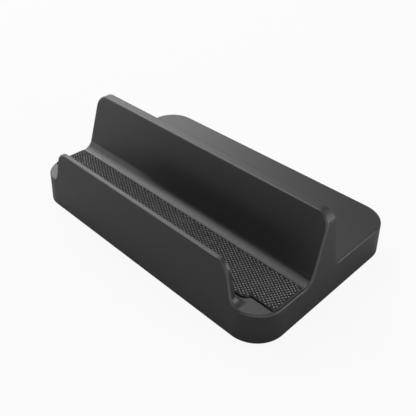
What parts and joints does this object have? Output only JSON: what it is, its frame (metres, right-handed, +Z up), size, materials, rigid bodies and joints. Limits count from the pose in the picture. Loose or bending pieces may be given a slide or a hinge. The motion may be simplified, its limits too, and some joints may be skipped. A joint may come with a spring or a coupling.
{
  "type": "laptop docking station",
  "caption": "Desktop cradle dock: low rounded base with a front lip, a leaning back rest, a textured rubber mat in the trough and a row of rear sockets.",
  "frame": {"origin": "middle of the footprint, on the surface that the feet stand on", "axes": "+X along the trough, -Y towards the lip, +Y towards the sockets, +Z up"},
  "size_m": [0.1314, 0.0828, 0.0394],
  "materials": {
    "housing": "fine moulded texture, dark grey",
    "base": "fine moulded texture, black",
    "mat": "black rubber with small raised pips",
    "film": "double-sided adhesive film",
    "feet": "soft matte",
    "screw_steel": "black zinc plated",
    "ballast": "zinc plated",
    "board": "glass-epoxy laminate with green solder mask",
    "port_shell": "nickel-plated sheet",
    "port_plastic": "moulded insulator",
    "contact": "gold-plated",
    "chip": "moulded epoxy",
    "pad": "soft silicone",
    "sink": "extruded, as cut",
    "can": "drawn can",
    "ferrite": "pressed ferrite",
    "ceramic": "fired ceramic, unglazed"
  },
  "bodies": {
    "root": {"upper_housing": "housing", "trough_mat": "mat", "mat_adhesive": "film", "base_plate": "base", "rubber_feet": "feet", "base_screws": "screw_steel", "ballast_plate": "ballast", "ballast_screws": "screw_steel", "main_board": "board", "board_screws": "screw_steel", "usb_a_shells": "port_shell", "usb_a_insulators": "port_plastic", "usb_a_contacts": "contact", "hdmi_shell": "port_shell", "hdmi_insulator": "port_plastic", "power_inlet_shell": "port_shell", "power_inlet_insulator": "port_plastic", "host_socket_shell": "port_shell", "host_socket_insulator": "port_plastic", "hub_chip": "chip", "video_chip": "chip", "power_chip": "chip", "thermal_pad": "pad", "heat_sink": "sink", "crystal": "can", "power_inductors": "ferrite", "polymer_capacitors": "can", "chip_capacitors": "ceramic"}
  },
  "joints": []
}
